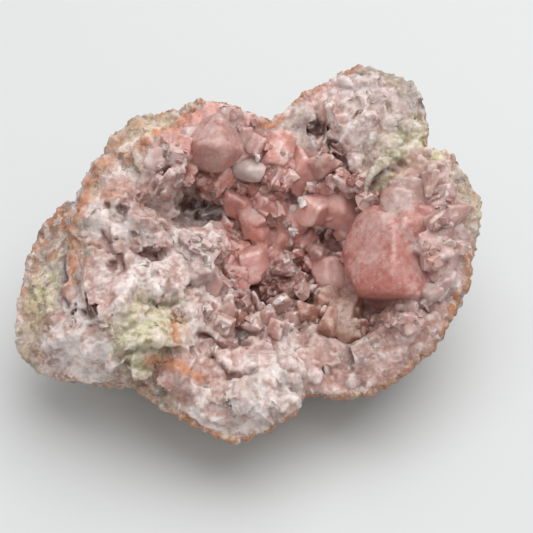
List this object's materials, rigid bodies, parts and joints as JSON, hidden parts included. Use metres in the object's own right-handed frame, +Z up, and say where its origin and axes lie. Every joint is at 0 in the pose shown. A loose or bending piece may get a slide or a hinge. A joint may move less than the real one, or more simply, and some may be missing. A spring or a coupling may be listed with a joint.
{
  "type": "pink amethyst geode",
  "caption": "Broken half of a hollow stone nodule whose cavity is lined with blocky pink crystals; it rests on a flat spot of its rounded underside.",
  "frame": {"origin": "on the flat resting spot of the underside, below the middle of the broken face", "axes": "+Z up as it rests; -Y towards the side the broken face opens to; +X to the right seen from there"},
  "size_m": [0.1111, 0.0879, 0.0545],
  "materials": {
    "weathered_stone": "rough weathered rind outside, pale massive quartz on the broken face",
    "pink_amethyst": "milky translucent crystal with flat glossy facets"
  },
  "bodies": {
    "root": {"stone_shell": "weathered_stone", "crystal_crust": "pink_amethyst"}
  },
  "joints": []
}
